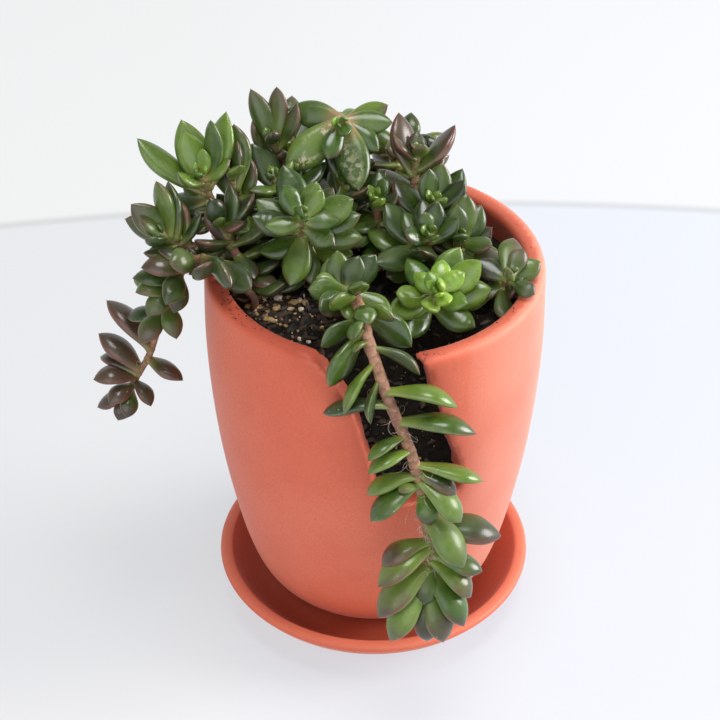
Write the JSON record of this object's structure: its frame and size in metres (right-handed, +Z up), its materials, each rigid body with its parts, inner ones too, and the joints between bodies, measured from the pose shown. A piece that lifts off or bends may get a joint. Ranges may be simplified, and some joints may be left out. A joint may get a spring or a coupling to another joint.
{
  "type": "potted succulent plant",
  "caption": "Rosette-forming succulent with fleshy boat-shaped leaves in a slotted terracotta pot on a saucer, with one leafy stem trailing out over the slot.",
  "frame": {"origin": "centre of the saucer's flat underside, on the axis of the pot and the saucer, at the surface that the object stands on", "axes": "+Z up along the pot's axis; -Y is the front, where the slot and the trailing stem are; +X is to the right of someone who looks at the front"},
  "size_m": [0.1695, 0.1773, 0.2093],
  "materials": {
    "pot_terracotta": "unglazed terracotta, matte and fine-grained",
    "saucer_terracotta": "unglazed terracotta, matte and fine-grained",
    "potting_soil": "dark potting mix with pale grit",
    "green_leaves": "waxy leaf skin, semi-gloss, with a light bloom",
    "young_leaves": "waxy young leaf skin, lime green, semi-gloss",
    "dark_leaves": "waxy leaf skin, dark green to purple-brown, semi-gloss"
  },
  "bodies": {
    "root": {"pot": "pot_terracotta", "saucer": "saucer_terracotta", "soil": "potting_soil", "hero_rosette": "green_leaves", "front_trailing_stem": "green_leaves", "bright_rosette": "young_leaves", "dark_centre_rosette": "green_leaves", "dark_right_rosette": "green_leaves", "right_rim_rosette": "green_leaves", "back_right_upright_stem": "dark_leaves", "back_right_rosette": "green_leaves", "arched_top_stem": "green_leaves", "upper_left_rosette": "green_leaves", "left_rim_rosette": "dark_leaves", "left_hanging_sprig": "dark_leaves", "centre_left_rosette": "green_leaves", "inner_back_rosette": "green_leaves", "centre_back_rosette": "green_leaves", "back_left_upright_stem": "dark_leaves", "middle_left_stem": "green_leaves", "dark_left_stem": "dark_leaves", "back_rim_left_stem": "green_leaves", "back_rim_stem": "green_leaves"}
  },
  "joints": []
}
